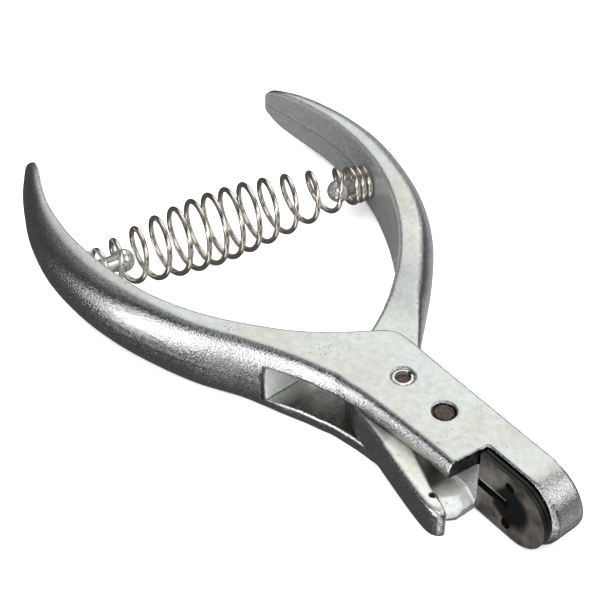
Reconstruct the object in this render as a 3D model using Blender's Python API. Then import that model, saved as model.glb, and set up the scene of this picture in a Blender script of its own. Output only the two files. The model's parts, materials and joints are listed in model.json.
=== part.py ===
"""Plier-type hand punch for slots: cast frame, cast lever, die, blade, pins and spring.

Frame of reference while modelling: the origin is on the pivot's axis, half way up
the tool; +X runs to the nose, +Y to the lever's handle and +Z up. Sizes are in
millimetres until the end, where everything is scaled to metres and lifted so
that the tool lies on z = 0 with its bounding box centred on the origin.
"""
import math

import bmesh
import bpy
import numpy as np

MM = 0.001
PIVOT = (0.0, 0.0, 0.0)

# Driving dimensions, mm
HALF_HEIGHT = 8.5          # half the tool's thickness
SLOT_HALF = 4.4            # half the gap between the cheeks
LEVER_HALF = 4.0           # half the lever's thickness inside the gap
GAP = 0.3                  # clearance between pieces that touch
EDGE_R = 0.9               # rounding of the castings' crisp edges
UNDERSIDE_ROUNDING = 0.5   # of the cheeks' rounding on top
CENTRE_X = -34.76          # middle of the bounding box, seen from the pivot
CENTRE_Y = 8.26

STOP_X = 12.0              # stop pin's axis
PIVOT_HOLE_R = 2.3
PIVOT_HOLE_BEVEL = 0.38
PIVOT_PIN_R = 2.0
PIVOT_PIN_BORE_R = 1.45
PIVOT_PIN_HALF = 7.9       # the pin's ends sit just below the cheeks' faces
STOP_HOLE_R = 2.35
STOP_HOLE_BEVEL = 0.22
STOP_PIN_R = 2.05
STOP_PIN_HALF = 8.2

SLOT_END_X = -21.8         # where the gap between the cheeks ends in the frame
THROAT_X = 22.9            # front of the cheeks
JAW_FACE_Y = 0.6           # the face that the die is fastened to
JAW_WALL_X = 15.6          # where the wall between the cheeks begins
JAW_WALL_Y = -1.3          # that wall's inner face, level with the die
NOSE_X = 34.1              # centre of the rounded nose
NOSE_CHAMFER = 1.0         # width of the chamfer round its front edge
NOSE_Y = (7.9, -8.6)       # the nose's far and near sides before the seat is cut
SLUG_HALF = 1.5            # half the width of the slot that lets the slugs out
DIE_START_X = 24.0
DIE_CENTRE_X = 33.8
DIE_R = 7.9
DIE_Y = (-1.6, -0.7)
BACKING_Y = (-0.4, 0.3)
SLIT_HALF = 1.1
SLIT_END_X = 31.8
RECESS_DEPTH = 0.35
RECESS_CENTRE_X = 31.2
RECESS_RADII = (5.4, 4.4)  # of the recess's rounded front, along X and Z
SCREW_X = 32.0
SCREW_Z = 5.1
SCREW_HOLE_R = 1.15
SCREW_R = 0.85
SCREW_LENGTH = 5.2
SCREW_SINK = 0.55          # the screws' heads sit below the die's face

TAIL_ANGLE = math.radians(-21.5)   # direction of the tail's cutting face, open
TAIL_OFFSET = -2.55                # that face's distance from the pivot's axis
BLADE_S = (24.0, 29.2)             # blade along the tail, from the pivot
BLADE_HALF = 0.8
BLADE_PROUD = 0.9
BLADE_DEPTH = 1.9                  # how far the blade is set into the tail
RETAINING_PIN_R = 0.5
RETAINING_PIN_HALF = 3.9

SPRING_START = (-72.9, -26.4)
SPRING_END = (-58.7, 41.5)
SPRING_LIFT = (1.1, 1.1)           # the end coils' distance from those points
SPRING_PHASE = math.radians(60)    # where round the axis the first coil starts
SPRING_BOW = 1.5                   # the coils' line bows away from the pivot
SPRING_LEAN = math.radians(11)     # the first coils' lean
SPRING_LEAN_AXIS = math.radians(43.7)   # the line in the coil's plane they lean about
SPRING_WIRE_R = 0.62
SPRING_END_R = 3.7
SPRING_BELLY_R = 7.6
SPRING_SKEW = 0.85                 # below 1, the widest coil is nearer the frame
SPRING_OPEN_TURNS = 12
SPRING_CLOSED_TURNS = (1.3, 2.7)
SPRING_CLOSED_PITCH = 1.56
SPRING_PITCH_SWING = 0.17          # open coils lie further apart near the ends
SPRING_PITCH_SKEW = 0.1            # and more so at the lever's end
STUD_NECK_R = 1.9
STUD_HEAD_R = 2.65
STUD_PROUD = 10.6
STUD_SHANK = 0.9                   # pressed into the casting
SOCKET_DEPTH = 1.2

# Handle sections: crisp edge (x, y), round side (x, y), half height, rounding depth.
FRAME_SECTIONS = (
    ((-111.5, -16.1), (-112.1, -17.6), 1.7, 0.7),
    ((-110.1, -16.5), (-111.1, -18.8), 2.7, 1.5),
    ((-106.7, -17.8), (-108.1, -21.3), 3.8, 2.9),
    ((-102.1, -20.0), (-103.3, -24.5), 4.8, 3.6),
    ((-96.4, -22.5), (-97.1, -27.8), 5.7, 4.3),
    ((-89.5, -24.8), (-89.4, -31.2), 6.5, 5.0),
    ((-79.0, -26.6), (-78.5, -33.9), 7.2, 5.6),
    ((-68.0, -26.9), (-67.2, -34.2), 7.8, 5.1),
    ((-58.4, -26.1), (-56.6, -32.8), 8.2, 4.8),
    ((-49.8, -24.3), (-47.2, -30.0), HALF_HEIGHT, 4.1),
    ((-40.0, -20.0), (-36.6, -25.8), HALF_HEIGHT, 3.4),
    ((-31.0, -14.1), (-27.0, -20.4), HALF_HEIGHT, 3.2),
    ((-23.0, -7.4), (-20.2, -16.8), HALF_HEIGHT, 2.9),
    ((-17.8, -1.3), (-15.0, -14.1), HALF_HEIGHT, 2.4),
    ((-14.2, 3.6), (-10.6, -12.5), HALF_HEIGHT, 2.3),
    ((-11.6, 6.9), (-8.2, -11.6), HALF_HEIGHT, 2.3),
    ((-8.4, 8.1), (-5.4, -10.9), HALF_HEIGHT, 1.9),
    ((0.0, 8.1), (0.0, -10.0), HALF_HEIGHT, 1.8),
    ((11.0, 8.1), (11.0, -9.0), HALF_HEIGHT, 1.6),
    ((22.0, 8.1), (22.0, -8.6), HALF_HEIGHT, 1.5),
    ((NOSE_X, 8.1), (NOSE_X, -8.6), HALF_HEIGHT, 1.5),
)
LEVER_SECTIONS = (
    ((-98.4, 41.6), (-98.7, 43.4), 2.3, 0.7),
    ((-97.2, 41.8), (-97.2, 44.9), 3.5, 1.8),
    ((-94.2, 42.2), (-93.6, 46.6), 4.8, 3.6),
    ((-90.2, 42.8), (-88.8, 48.4), 5.7, 4.8),
    ((-84.4, 43.5), (-82.6, 49.8), 6.3, 5.3),
    ((-76.1, 44.0), (-74.4, 50.8), 6.8, 5.5),
    ((-66.1, 43.2), (-64.0, 50.4), 7.2, 5.5),
    ((-55.8, 40.6), (-53.0, 47.7), 7.8, 5.3),
    ((-45.6, 36.2), (-41.6, 43.2), 8.4, 4.8),
    ((-36.4, 30.6), (-31.6, 37.0), 8.3, 4.2),
    ((-29.3, 24.6), (-23.2, 29.2), 7.3, 3.7),
    ((-24.2, 18.4), (-16.9, 21.9), 5.6, 2.9),
    ((-20.6, 12.7), (-11.3, 15.6), 4.3, 1.6),
    ((-17.4, 6.5), (-4.2, 9.2), LEVER_HALF, 1.0),
    ((-14.6, -0.2), (2.4, 7.1), LEVER_HALF, 0.8),
    ((-9.6, -6.6), (6.4, 3.9), LEVER_HALF, 0.8),
    ((-2.6, -9.9), (7.0, -2.7), LEVER_HALF, 0.8),
    ((5.4, -11.6), (9.6, -6.75), LEVER_HALF, 0.8),
    ((13.4, -13.4), (15.2, -8.95), LEVER_HALF, 0.8),
    ((20.6, -14.9), (22.4, -11.75), LEVER_HALF, 0.8),
    ((25.0, -15.5), (26.9, -12.9), 3.9, 0.8),
    ((27.2, -15.2), (28.1, -13.7), 3.1, 0.7),
    ((28.1, -14.6), (28.6, -13.8), 1.8, 0.4),
)


# ---------------------------------------------------------------- small helpers

def clear_scene():
    for item in list(bpy.data.objects):
        bpy.data.objects.remove(item, do_unlink=True)


def material(name, colour, roughness, metallic):
    mat = bpy.data.materials.new(name)
    mat.use_nodes = True
    shader = mat.node_tree.nodes["Principled BSDF"]
    shader.inputs["Base Color"].default_value = (*colour, 1.0)
    shader.inputs["Roughness"].default_value = roughness
    shader.inputs["Metallic"].default_value = metallic
    mat.diffuse_color = (*colour, 1.0)
    return mat


def place(point):
    """A point of the pivot's frame, in mm, as world metres."""
    x, y, z = point
    return ((x - CENTRE_X) * MM, (y - CENTRE_Y) * MM, (z + HALF_HEIGHT) * MM)


def finish(name, verts, faces, mat, origin=(0.0, 0.0, 0.0), cutter=False):
    """An object from points in mm, with its own origin at a point in mm."""
    mesh = bpy.data.meshes.new(name)
    shifted = [tuple((p[i] - origin[i]) * MM for i in range(3)) for p in verts]
    mesh.from_pydata(shifted, [], faces)
    bm = bmesh.new()
    bm.from_mesh(mesh)
    bmesh.ops.remove_doubles(bm, verts=bm.verts, dist=0.000002)
    bmesh.ops.recalc_face_normals(bm, faces=bm.faces)
    bm.to_mesh(mesh)
    bm.free()
    mesh.materials.append(mat)
    obj = bpy.data.objects.new(name, mesh)
    obj.location = place(origin)
    bpy.context.scene.collection.objects.link(obj)
    mesh.shade_smooth()
    mesh.set_sharp_from_angle(angle=math.radians(32))
    if cutter:
        obj.hide_render = True
        obj.display_type = "WIRE"
    return obj


def boolean(obj, cutter, operation="DIFFERENCE"):
    mod = obj.modifiers.new(operation.title() + "_" + cutter.name, "BOOLEAN")
    mod.operation = operation
    mod.object = cutter
    mod.solver = "EXACT"


def spline(points, steps):
    """Catmull-Rom curve through rows of numbers, with the given steps per span."""
    rows = np.array(points, dtype=float)
    rows = np.vstack((2 * rows[0] - rows[1], rows, 2 * rows[-1] - rows[-2]))
    curve = []
    for i in range(1, len(rows) - 2):
        a, b, c, d = rows[i - 1:i + 3]
        for k in range(steps):
            t = k / steps
            curve.append(0.5 * (2 * b + (c - a) * t + (2 * a - 5 * b + 4 * c - d) * t ** 2
                                + (3 * b - a - 3 * c + d) * t ** 3))
    curve.append(rows[-2])
    return np.array(curve)


def bridge_rings(rings):
    """Vertices and faces of a closed skin over rings of equal length."""
    count = len(rings[0])
    verts = [tuple(p) for ring in rings for p in ring]
    faces = []
    for r in range(len(rings) - 1):
        for k in range(count):
            nxt = (k + 1) % count
            faces.append((r * count + k, r * count + nxt,
                          (r + 1) * count + nxt, (r + 1) * count + k))
    faces.append(tuple(reversed(range(count))))
    last = (len(rings) - 1) * count
    faces.append(tuple(range(last, last + count)))
    return verts, faces


def prism(name, outline, axis, low, high, mat, cutter=True):
    """A straight prism over a flat outline: axis 1 is Y (outline in x, z), 2 is Z."""
    def point(p, level):
        return (p[0], level, p[1]) if axis == 1 else (p[0], p[1], level)
    rings = [[point(p, low) for p in outline], [point(p, high) for p in outline]]
    verts, faces = bridge_rings(rings)
    return finish(name, verts, faces, mat, cutter=cutter)


def lathe(name, profile, centre, axis, mat, steps=32, cutter=False, origin=None):
    """A round piece: profile of (radius, distance along the axis), ends closed."""
    direction = np.array(axis, dtype=float)
    direction /= np.linalg.norm(direction)
    side = np.cross(direction, (0.0, 0.0, 1.0))
    if np.linalg.norm(side) < 0.5:
        side = np.array((1.0, 0.0, 0.0))
    side /= np.linalg.norm(side)
    other = np.cross(direction, side)
    rings = []
    for radius, along in profile:
        ring = []
        for k in range(steps):
            angle = 2 * math.pi * k / steps
            offset = radius * (math.cos(angle) * side + math.sin(angle) * other)
            ring.append(tuple(np.array(centre) + along * direction + offset))
        rings.append(ring)
    verts, faces = bridge_rings(rings)
    return finish(name, verts, faces, mat, origin=origin or centre, cutter=cutter)


# ------------------------------------------------------------------ the castings

def section_ring(crisp, rounded, half, depth):
    """One section of a casting, upright between its crisp edge and its round side.

    The crisp side has a little draft that meets in a ridge half way up; the other
    side is a quarter ellipse from the flat top down to the middle or the wall.
    """
    crisp = np.array(crisp)
    across = np.array(rounded) - crisp
    width = np.linalg.norm(across)
    across = across / width
    cheek = min(1.0, max(0.0, (rounded[0] - SLOT_END_X + 6.0) / 12.0))
    low_depth = depth * (1.0 - (1.0 - UNDERSIDE_ROUNDING) * cheek)
    upper = [(-0.055 * half, 0.0)] + half_section(width, half, depth)
    lower = [(u, -z) for u, z in reversed(half_section(width, half, low_depth))]
    return [(crisp[0] + u * across[0], crisp[1] + u * across[1], z)
            for u, z in upper + [(width + 0.05, 0.0)] + lower]


def half_section(width, half, depth):
    """Distance across and height, from the crisp edge over the top to the round side."""
    edge = min(EDGE_R, 0.25 * half, 0.8 * (width - depth) - 0.1)
    fall = half * min(0.92, 0.45 + 0.36 * max(0.0, depth - 1.6))
    points = [(-0.1, half - edge), (0.25 * edge, half - 0.2 * edge),
              (edge + 0.1, half), (width - depth, half)]
    for k in range(1, 7):
        angle = math.radians(15 * k)
        points.append((width - depth + depth * math.sin(angle),
                       half - fall * (1 - math.cos(angle))))
    return points


def casting(name, sections, steps, mat, tail_rings=()):
    rows = [(*crisp, *rounded, half, depth) for crisp, rounded, half, depth in sections]
    curve = spline(rows, steps)
    rings = [section_ring(r[0:2], r[2:4], min(r[4], HALF_HEIGHT), r[5]) for r in curve]
    rings.extend(tail_rings)
    verts, faces = bridge_rings(rings)
    return finish(name, verts, faces, mat)


def build_frame(mats):
    zinc = mats["zinc"]
    nose = []
    for k in range(1, 9):
        angle = math.radians(11 * k)
        x = NOSE_X + HALF_HEIGHT * math.sin(angle)
        nose.append(section_ring((x, NOSE_Y[0]), (x, NOSE_Y[1]),
                                 HALF_HEIGHT * math.cos(angle), 1.5))
    frame = casting("frame", FRAME_SECTIONS, 2, zinc, nose)

    far = 60.0
    gap_outline = [(SLOT_END_X, -far), (far, -far), (far, JAW_WALL_Y),
                   (JAW_WALL_X + 1.5, JAW_WALL_Y), (JAW_WALL_X, JAW_WALL_Y + 1.5),
                   (JAW_WALL_X, far), (SLOT_END_X, far)]
    boolean(frame, prism("cut_lever_gap", gap_outline, 2, -SLOT_HALF, SLOT_HALF, zinc))

    throat_outline = [(THROAT_X - 0.4, -far), (far, -far), (far, JAW_WALL_Y),
                      (THROAT_X + 0.7, JAW_WALL_Y), (THROAT_X, -8)]
    boolean(frame, prism("cut_throat_top", throat_outline, 2, -1, 20, zinc))
    boolean(frame, throat_slope(zinc))
    seat_outline = [(DIE_START_X - GAP, -far), (far, -far), (far, JAW_FACE_Y),
                    (DIE_START_X - GAP, JAW_FACE_Y)]
    boolean(frame, prism("cut_die_seat", seat_outline, 2, -20, 20, zinc))

    for name, x, radius, bevel in (("pivot", 0.0, PIVOT_HOLE_R, PIVOT_HOLE_BEVEL),
                                   ("stop", STOP_X, STOP_HOLE_R, STOP_HOLE_BEVEL)):
        mouth = radius + bevel
        profile = [(mouth, -HALF_HEIGHT - 1), (mouth, -HALF_HEIGHT),
                   (radius, -HALF_HEIGHT + bevel), (radius, HALF_HEIGHT - bevel),
                   (mouth, HALF_HEIGHT), (mouth, HALF_HEIGHT + 1)]
        hole = lathe("cut_hole_" + name, profile, (x, 0.0, 0.0), (0, 0, 1), zinc, cutter=True)
        boolean(frame, hole)

    boolean(frame, nose_chamfer(zinc))
    slug_outline = [(DIE_START_X - 0.4, -SLUG_HALF), (SLIT_END_X + 0.6, -SLUG_HALF),
                    (SLIT_END_X + 0.6, SLUG_HALF), (DIE_START_X - 0.4, SLUG_HALF)]
    slug = prism("cut_slug_slot", slug_outline, 1, -5, 20, zinc)
    boolean(frame, slug)
    for name, side in (("upper", 1), ("lower", -1)):
        centre = (SCREW_X, JAW_FACE_Y - 1, side * SCREW_Z)
        hole = lathe("cut_tapped_hole_" + name, [(SCREW_HOLE_R, 0), (SCREW_HOLE_R, 6)],
                     centre, (0, 1, 0), zinc, steps=20, cutter=True)
        boolean(frame, hole)
    socket(frame, "frame", SPRING_START, spring_direction(), zinc)
    return frame


def throat_slope(mat):
    """Cutter for the lower cheek's front, which slopes down into the throat."""
    rings = []
    for y, shift in ((-60.0, -26.0), (-7.6, 0.0), (-4.2, 1.9), (-2.3, 1.8), (JAW_WALL_Y, 0.7)):
        profile = ((18.4, 1.0), (18.4, -SLOT_HALF + 0.5), (19.6, -SLOT_HALF), (22.4, -6.9),
                   (22.9, -7.6), (22.9, -20.0), (60.0, -20.0), (60.0, 1.0))
        rings.append([(x + (shift if x < 60 else 0.0), y, z) for x, z in profile])
    verts, faces = bridge_rings(rings)
    return finish("cut_throat_slope", verts, faces, mat, cutter=True)


def nose_chamfer(mat):
    """Cutter for the chamfer round the nose's front edge, fading out at its ends."""
    rings = []
    for k in range(14 + 1):
        angle = math.radians(-85 + 170 * k / 14)
        size = 0.15 + NOSE_CHAMFER * math.cos(angle) ** 1.2
        inner = HALF_HEIGHT - size
        outer = HALF_HEIGHT + 0.3
        corners = ((inner - 0.2, JAW_FACE_Y - 0.2), (outer, JAW_FACE_Y - 0.2),
                   (outer, JAW_FACE_Y + size + 0.3))
        rings.append([(NOSE_X + r * math.cos(angle), y, r * math.sin(angle))
                      for r, y in corners])
    verts, faces = bridge_rings(rings)
    return finish("cut_nose_chamfer", verts, faces, mat, cutter=True)


def build_lever(mats):
    zinc = mats["zinc"]
    lever = casting("lever", LEVER_SECTIONS, 2, zinc)
    hole = lathe("cut_lever_hole", [(PIVOT_HOLE_R, -8), (PIVOT_HOLE_R, 8)],
                 (0.0, 0.0, 0.0), (0, 0, 1), zinc, cutter=True)
    boolean(lever, hole)
    # Straight cutting face of the tail, which also clears the stop pin when closed
    face = [tail_point(6.4, TAIL_OFFSET + 1.5), tail_point(7.6, TAIL_OFFSET),
            tail_point(40, TAIL_OFFSET), tail_point(40, 30), tail_point(7.2, 30)]
    boolean(lever, prism("cut_tail_face", face, 2, -10, 10, zinc))
    pocket = blade_outline(GAP)
    boolean(lever, prism("cut_blade_pocket", pocket, 2,
                         -BLADE_HALF - GAP, BLADE_HALF + GAP, zinc))
    bore = lathe("cut_retaining_hole", [(RETAINING_PIN_R + GAP, -8), (RETAINING_PIN_R + GAP, 8)],
                 retaining_centre(), (0, 0, 1), zinc, steps=16, cutter=True)
    boolean(lever, bore)
    socket(lever, "lever", SPRING_END, -spring_direction(), zinc)
    return lever


def tail_point(along, across):
    """A plan point by distance along the tail's cutting face and across it."""
    c, s = math.cos(TAIL_ANGLE), math.sin(TAIL_ANGLE)
    return (along * c - across * s, along * s + across * c)


def blade_outline(margin):
    low, high = BLADE_S
    back = TAIL_OFFSET - BLADE_DEPTH - margin
    front = TAIL_OFFSET + BLADE_PROUD + margin
    return [tail_point(low - margin, back), tail_point(high + margin, back),
            tail_point(high + margin, front), tail_point(low - margin, front)]


def retaining_centre():
    x, y = tail_point(sum(BLADE_S) / 2, TAIL_OFFSET - BLADE_DEPTH / 2)
    return (x, y, 0.0)


# ------------------------------------------------------- pins, die, blade, studs

def build_pivot_pin(mats):
    """A rolled pin: a tube with a slit down one side and chamfered ends."""
    slit = math.radians(16)
    steps = 30
    rings = []
    for z, shrink in ((-PIVOT_PIN_HALF, 0.35), (-PIVOT_PIN_HALF + 0.6, 0.0),
                      (PIVOT_PIN_HALF - 0.6, 0.0), (PIVOT_PIN_HALF, 0.35)):
        outer = []
        inner = []
        for k in range(steps + 1):
            angle = math.pi / 2 + slit + (2 * math.pi - 2 * slit) * k / steps
            c, s = math.cos(angle), math.sin(angle)
            outer.append(((PIVOT_PIN_R - shrink) * c, (PIVOT_PIN_R - shrink) * s, z))
            inner.append((PIVOT_PIN_BORE_R * c, PIVOT_PIN_BORE_R * s, z))
        rings.append(outer + inner[::-1])
    verts, faces = bridge_rings(rings)
    return finish("pivot_pin", verts, faces, mats["pin_steel"])


def build_stop_pin(mats):
    r = STOP_PIN_R
    h = STOP_PIN_HALF
    profile = [(r - 0.25, -h), (r, -h + 0.25), (r, h - 0.25), (r - 0.25, h)]
    return lathe("stop_pin", profile, (STOP_X, 0.0, 0.0), (0, 0, 1), mats["brown_steel"])


def die_outline(radius, slit_half, slit_end, steps=20):
    """The die's outline in x, z: straight inner end, round nose, slit from the end."""
    outline = [(DIE_START_X, slit_half), (slit_end, slit_half), (slit_end, -slit_half),
               (DIE_START_X, -slit_half), (DIE_START_X, -radius)]
    for k in range(steps + 1):
        angle = -math.pi / 2 + math.pi * k / steps
        outline.append((DIE_CENTRE_X + radius * math.cos(angle), radius * math.sin(angle)))
    outline.append((DIE_START_X, radius))
    return outline


def build_die(mats):
    die = prism("die_plate", die_outline(DIE_R, SLIT_HALF, SLIT_END_X), 1,
                DIE_Y[0], DIE_Y[1], mats["die_steel"], cutter=False)
    backing = prism("die_backing_plate", die_outline(DIE_R - 0.1, SLIT_HALF + 0.3,
                                                     SLIT_END_X + 0.3),
                    1, BACKING_Y[0], BACKING_Y[1], mats["die_steel"], cutter=False)
    long_radius, short_radius = RECESS_RADII
    recess = [(RECESS_CENTRE_X - 2.8, 0.5)]
    for k in range(13):
        angle = math.pi / 2 - math.pi * k / 12
        recess.append((RECESS_CENTRE_X + long_radius * math.cos(angle),
                       short_radius * math.sin(angle)))
    recess.append((RECESS_CENTRE_X - 2.8, -2.6))
    relief = prism("cut_die_recess", recess, 1, DIE_Y[0] - 1, DIE_Y[0] + RECESS_DEPTH,
                   mats["die_steel"])
    boolean(die, relief)
    for name, side in (("upper", 1), ("lower", -1)):
        centre = (SCREW_X, DIE_Y[0] - 0.5, side * SCREW_Z)
        hole = lathe("cut_die_hole_" + name, [(SCREW_HOLE_R, 0), (SCREW_HOLE_R, 3)],
                     centre, (0, 1, 0), mats["die_steel"], steps=20, cutter=True)
        boolean(die, hole)
        boolean(backing, hole)
        start = (SCREW_X, DIE_Y[0] + SCREW_SINK, side * SCREW_Z)
        lathe("die_screw_" + name, [(SCREW_R, 0), (SCREW_R, SCREW_LENGTH)],
              start, (0, 1, 0), mats["dark_steel"], steps=16)


def build_blade(mats):
    blade = prism("punch_blade", blade_outline(0.0), 2, -BLADE_HALF, BLADE_HALF,
                  mats["blade_steel"], cutter=False)
    boolean(blade, lathe("cut_blade_hole", [(RETAINING_PIN_R + GAP, -3), (RETAINING_PIN_R + GAP, 3)],
                         retaining_centre(), (0, 0, 1), mats["blade_steel"],
                         steps=16, cutter=True))
    lathe("punch_retaining_pin", [(RETAINING_PIN_R, -RETAINING_PIN_HALF),
                                  (RETAINING_PIN_R, RETAINING_PIN_HALF)],
          retaining_centre(), (0, 0, 1), mats["dark_steel"], steps=16, origin=PIVOT)


def spring_direction():
    run = np.subtract(SPRING_END, SPRING_START)
    return np.append(run / np.linalg.norm(run), 0.0)


def socket(casting_object, name, seat, direction, mat):
    """The blind hole that a spring stud's shank is pressed into."""
    centre = np.append(seat, 0.0) - SOCKET_DEPTH * direction
    profile = [(STUD_NECK_R + GAP, 0), (STUD_NECK_R + GAP, 9)]
    boolean(casting_object, lathe("cut_stud_socket_" + name, profile, tuple(centre),
                                  direction, mat, steps=20, cutter=True))


def build_studs(mats):
    """Studs that hold the spring's ends: a plain neck with a domed head."""
    for name, seat, sign in (("frame", SPRING_START, 1), ("lever", SPRING_END, -1)):
        direction = sign * spring_direction()
        neck = STUD_NECK_R
        profile = [(neck, -STUD_SHANK), (neck, STUD_PROUD - 4.6)]
        for k in range(7):
            angle = math.radians(-40 + 20 * k)
            profile.append((STUD_HEAD_R * math.cos(angle),
                            STUD_PROUD - STUD_HEAD_R + STUD_HEAD_R * math.sin(angle)))
        profile.append((0.4, STUD_PROUD))
        lathe(name + "_spring_stud", profile, (*seat, 0.0), direction,
              mats["zinc"], steps=20, origin=PIVOT)


def coil_direction(angle, share, direction, side, up):
    """From a coil's centre to its wire. The coils lean, most of all near the frame."""
    hinge = math.cos(SPRING_LEAN_AXIS) * side + math.sin(SPRING_LEAN_AXIS) * up
    across = -math.sin(SPRING_LEAN_AXIS) * side + math.cos(SPRING_LEAN_AXIS) * up
    lean = SPRING_LEAN * (1 - share) ** 1.5
    tipped = math.cos(lean) * across + math.sin(lean) * direction
    turned = angle - SPRING_LEAN_AXIS
    return math.cos(turned) * hinge + math.sin(turned) * tipped


def build_spring(mats):
    """Barrel-shaped compression spring, its coils closed up at both ends."""
    start = np.append(SPRING_START, 0.0)
    direction = spring_direction()
    length = np.linalg.norm(np.subtract(SPRING_END, SPRING_START)) - sum(SPRING_LIFT)
    side = np.array((-direction[1], direction[0], 0.0))
    up = np.array((0.0, 0.0, 1.0))
    low, high = (n * SPRING_CLOSED_PITCH for n in SPRING_CLOSED_TURNS)
    turns = SPRING_OPEN_TURNS + sum(SPRING_CLOSED_TURNS)
    per_turn = 14
    rings = []
    for k in range(round(turns * per_turn) + 1):
        turn = k / per_turn
        if turn <= SPRING_CLOSED_TURNS[0]:
            along = turn * SPRING_CLOSED_PITCH
        elif turn >= turns - SPRING_CLOSED_TURNS[1]:
            along = length - (turns - turn) * SPRING_CLOSED_PITCH
        else:
            open_part = (turn - SPRING_CLOSED_TURNS[0]) / SPRING_OPEN_TURNS
            swing = SPRING_PITCH_SWING * math.sin(2 * math.pi * open_part) / (2 * math.pi)
            swing += SPRING_PITCH_SKEW * (open_part ** 2 - open_part)
            along = low + (length - low - high) * (open_part + swing)
        share = min(1.0, max(0.0, along / length))
        belly = max(0.0, math.sin(math.pi * share ** SPRING_SKEW)) ** 1.3
        radius = SPRING_END_R + (SPRING_BELLY_R - SPRING_END_R) * belly
        angle = SPRING_PHASE - 2 * math.pi * turn
        out = coil_direction(angle, share, direction, side, up)
        bow = SPRING_BOW * math.sin(math.pi * share ** 2) * side
        centre = start + direction * (SPRING_LIFT[0] + along) + bow + out * radius
        ring = []
        for j in range(6):
            a = math.pi / 3 * j
            ring.append(tuple(centre + SPRING_WIRE_R * (math.cos(a) * out + math.sin(a) * direction)))
        rings.append(ring)
    verts, faces = bridge_rings(rings)
    return finish("return_spring", verts, faces, mats["nickel"])


def main():
    clear_scene()
    mats = {
        "zinc": material("zinc_casting", (0.68, 0.70, 0.68), 0.38, 0.85),
        "nickel": material("nickel_wire", (0.72, 0.69, 0.64), 0.18, 1.0),
        "die_steel": material("black_die_steel", (0.055, 0.048, 0.042), 0.42, 0.7),
        "dark_steel": material("dark_screw_steel", (0.03, 0.03, 0.03), 0.5, 0.7),
        "pin_steel": material("pivot_pin_steel", (0.42, 0.41, 0.39), 0.3, 1.0),
        "brown_steel": material("stop_pin_steel", (0.20, 0.13, 0.095), 0.55, 0.6),
        "blade_steel": material("punch_blade_steel", (0.35, 0.35, 0.35), 0.25, 1.0),
    }
    build_frame(mats)
    build_lever(mats)
    build_pivot_pin(mats)
    build_stop_pin(mats)
    build_die(mats)
    build_blade(mats)
    build_studs(mats)
    build_spring(mats)


main()
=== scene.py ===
"""Looks of the plier-type hand punch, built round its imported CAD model."""
import json
import math

import bmesh
import bpy
import numpy as np
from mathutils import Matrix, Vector


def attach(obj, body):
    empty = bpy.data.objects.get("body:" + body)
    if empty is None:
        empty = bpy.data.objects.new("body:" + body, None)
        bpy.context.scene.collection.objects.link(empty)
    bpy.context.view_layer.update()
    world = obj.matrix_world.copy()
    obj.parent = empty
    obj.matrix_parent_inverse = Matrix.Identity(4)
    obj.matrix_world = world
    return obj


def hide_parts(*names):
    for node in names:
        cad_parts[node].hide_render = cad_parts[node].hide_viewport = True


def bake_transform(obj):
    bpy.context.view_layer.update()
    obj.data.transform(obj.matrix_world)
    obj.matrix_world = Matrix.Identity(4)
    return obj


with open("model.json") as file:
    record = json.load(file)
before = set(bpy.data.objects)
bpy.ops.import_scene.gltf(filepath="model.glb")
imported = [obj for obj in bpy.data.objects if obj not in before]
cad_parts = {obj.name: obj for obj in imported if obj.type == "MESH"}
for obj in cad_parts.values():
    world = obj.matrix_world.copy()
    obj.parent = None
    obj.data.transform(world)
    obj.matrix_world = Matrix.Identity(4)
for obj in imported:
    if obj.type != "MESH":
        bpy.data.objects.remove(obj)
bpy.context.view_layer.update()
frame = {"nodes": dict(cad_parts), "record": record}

# The pivot's centre is the origin of all the plan points below, which are in mm
PIVOT = Vector(frame["record"]["behaviour"]["joints"][0]["pos_m"])
MM = 0.001

# The castings
HALF_HEIGHT = 8.5          # half the tool's thickness
SLOT_HALF = 4.4            # half the gap between the cheeks
LEVER_HALF = 4.0           # half the lever's thickness inside the gap
GAP = 0.3                  # clearance between pieces that touch
EDGE_R = 0.9               # rounding of the castings' crisp edges
UNDERSIDE_ROUNDING = 0.5   # of the cheeks' rounding on top
RIM_CHAMFER = (0.25, 0.6)  # depth and height of the lower cheek's steep chamfer
SECTION_STEPS = 6          # rings between two of the sections listed below
CASTING_VOXEL = 0.27       # the remeshing that rounds a casting's edges
CASTING_SMOOTHING = 4
CASTING_KEEP = 0.4         # share of the faces kept after it

# The two pins through the cheeks
STOP_X = 12.0
PIVOT_HOLE_R = 2.3
PIN_LOOK_R = 2.2
PIN_LOOK_HALF = 8.25
PIN_LOOK_BORE_R = 1.7
PIN_SLIT = math.radians(16)    # half the angle of the rolled pin's slit
PIN_CORE_HALF = 7.3        # the dark plug that fills the rolled pin's bore, painted shade for its hollow
STOP_HOLE_R = 2.35
STOP_PIN_R = 2.05
STOP_PIN_HALF = 8.2
STOP_PIN_ROUNDING = 0.3

# The head, the jaw and the nose
SLOT_END_X = -21.8         # where the gap between the cheeks ends
HEAD_X = -12.0             # where the handles run into the head
THROAT_X = 22.9            # front of the cheeks
JAW_FACE_Y = 0.6           # the face that the die is fastened to
JAW_WALL_X = 15.6          # where the wall between the cheeks begins
JAW_WALL_Y = -1.3          # that wall's inner face, level with the die
NOSE_X = 34.1              # centre of the rounded nose
NOSE_Y = (7.9, -8.6)       # the nose's far and near sides before the seat is cut
NOSE_CHAMFER = 1.0
SLUG_HALF = 1.5            # half the width of the slot that lets the slugs out

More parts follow.
